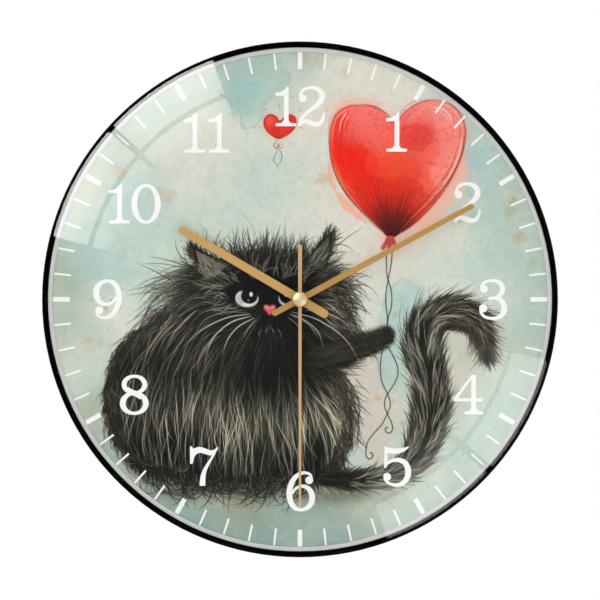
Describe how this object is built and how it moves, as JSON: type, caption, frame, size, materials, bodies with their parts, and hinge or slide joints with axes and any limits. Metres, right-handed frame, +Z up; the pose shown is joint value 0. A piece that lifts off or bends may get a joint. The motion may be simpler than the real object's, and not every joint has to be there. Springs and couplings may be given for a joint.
{
  "type": "quartz wall clock",
  "caption": "Round battery wall clock with a domed clear lens, thin black rim, printed dial, gold hour, minute and second hands and a keyhole hanger on its back.",
  "frame": {"origin": "axis of the hanging keyhole's round entry, on the wall plane at the back of the clock", "axes": "+Z up, the dial faces -Y, +X to the reader's right, the hands turn about a line along Y that lies 104 mm below the origin"},
  "size_m": [0.3, 0.042, 0.3],
  "materials": {
    "case_plastic": "satin black moulded plastic",
    "cover_plastic": "fine textured black moulded plastic",
    "lens_glass": "clear domed lens, polished",
    "adhesive_foam": "black foam tape",
    "spacer_plastic": "pale grey satin",
    "dial_board": "flat white board",
    "dial_paper": "printed film, satin",
    "movement_plastic": "black moulded plastic",
    "gear_plastic_white": "natural acetal",
    "gear_plastic_amber": "natural nylon, amber",
    "plate_plastic": "light grey moulded plastic",
    "magnet": "dark sintered magnet",
    "silicon_steel": "stamped soft-iron lamination",
    "zinc_steel": "zinc-plated steel",
    "black_screw": "blackened steel",
    "winding": "enamelled copper wire",
    "bobbin_plastic": "natural moulded plastic",
    "board": "green solder mask",
    "chip": "black resin blob",
    "nickel_strip": "nickel-plated spring strip",
    "brass": "turned brass",
    "rubber_black": "soft rubber",
    "cell_jacket": "plain printed jacket",
    "hand_gold_light": "satin light gold",
    "hand_gold": "satin gold",
    "hand_rose": "satin rose beige",
    "cap_gold": "polished champagne gold"
  },
  "bodies": {
    "case": {"frame_ring": "case_plastic", "rear_cover": "cover_plastic", "hanger_plate": "zinc_steel", "hanger_rivets": "black_screw", "rear_cover_screws": "black_screw", "lens": "lens_glass", "lens_adhesive_ring": "adhesive_foam", "spacer_ring": "spacer_plastic", "dial_plate": "dial_board", "dial_print": "dial_paper", "movement_front_case": "movement_plastic", "movement_rear_cover": "movement_plastic", "train_plate": "plate_plastic", "train_plate_screws": "zinc_steel", "stator": "silicon_steel", "coil_core": "silicon_steel", "coil_bobbin": "bobbin_plastic", "coil_winding": "winding", "circuit_board": "board", "control_chip": "chip", "quartz_crystal": "nickel_strip", "battery_positive_contact": "nickel_strip", "battery_negative_contact": "nickel_strip", "threaded_bushing": "brass", "rubber_washer": "rubber_black", "brass_washer": "brass", "hex_nut": "brass"},
    "battery": {"battery_cell": "cell_jacket", "battery_positive_cap": "nickel_strip"},
    "seconds": {"second_wheel": "gear_plastic_white", "second_arbor": "zinc_steel", "second_hand": "hand_rose", "second_hand_tube": "brass", "hand_cap": "cap_gold"},
    "third": {"third_wheel": "gear_plastic_amber"},
    "minutes": {"centre_wheel": "gear_plastic_white", "clutch_spring": "zinc_steel", "minute_pipe": "gear_plastic_amber", "minute_hand": "hand_gold", "minute_hand_collet": "brass"},
    "motion": {"motion_wheel": "gear_plastic_white"},
    "hours": {"hour_wheel": "gear_plastic_white", "hour_hand": "hand_gold_light", "hour_hand_collet": "brass"},
    "intermediate": {"intermediate_wheel": "gear_plastic_white"},
    "rotor": {"rotor_pinion": "gear_plastic_white", "rotor_magnet": "magnet"},
    "setting": {"setting_shaft": "gear_plastic_white", "setting_knob": "movement_plastic"}
  },
  "joints": [
    {"name": "second_hand_spin", "type": "hinge", "parent": "case", "child": "seconds", "pos_m": [0, -0.02, -0.104], "axis": [0, 1, 0], "continuous": true},
    {"name": "minute_hand_spin", "type": "hinge", "parent": "case", "child": "minutes", "pos_m": [0, -0.02, -0.104], "axis": [0, 1, 0], "continuous": true},
    {"name": "hour_hand_spin", "type": "hinge", "parent": "case", "child": "hours", "pos_m": [0, -0.02, -0.104], "axis": [0, 1, 0], "continuous": true},
    {"name": "third_wheel_spin", "type": "hinge", "parent": "case", "child": "third", "pos_m": [-0.00721, -0.008, -0.09679], "axis": [0, 1, 0], "continuous": true},
    {"name": "motion_wheel_spin", "type": "hinge", "parent": "case", "child": "motion", "pos_m": [0, -0.015, -0.095], "axis": [0, 1, 0], "continuous": true},
    {"name": "intermediate_wheel_spin", "type": "hinge", "parent": "case", "child": "intermediate", "pos_m": [0.00947, -0.008, -0.10055], "axis": [0, 1, 0], "continuous": true},
    {"name": "rotor_spin", "type": "hinge", "parent": "case", "child": "rotor", "pos_m": [0.01008, -0.008, -0.09358], "axis": [0, 1, 0], "continuous": true},
    {"name": "setting_knob_spin", "type": "hinge", "parent": "case", "child": "setting", "pos_m": [0, -0.008, -0.086], "axis": [0, 1, 0], "continuous": true},
    {"name": "battery_slide", "type": "slide", "parent": "case", "child": "battery", "axis": [0, 1, 0], "range_m": [0, 0.022]}
  ],
  "couplings": [
    {"joint": "minute_hand_spin", "follows": "second_hand_spin", "ratio": 0.016667},
    {"joint": "hour_hand_spin", "follows": "second_hand_spin", "ratio": 0.0013889},
    {"joint": "third_wheel_spin", "follows": "second_hand_spin", "ratio": -0.13333},
    {"joint": "motion_wheel_spin", "follows": "second_hand_spin", "ratio": -0.0055556},
    {"joint": "intermediate_wheel_spin", "follows": "second_hand_spin", "ratio": -5},
    {"joint": "rotor_spin", "follows": "second_hand_spin", "ratio": 30},
    {"joint": "setting_knob_spin", "follows": "second_hand_spin", "ratio": 0.016667}
  ]
}
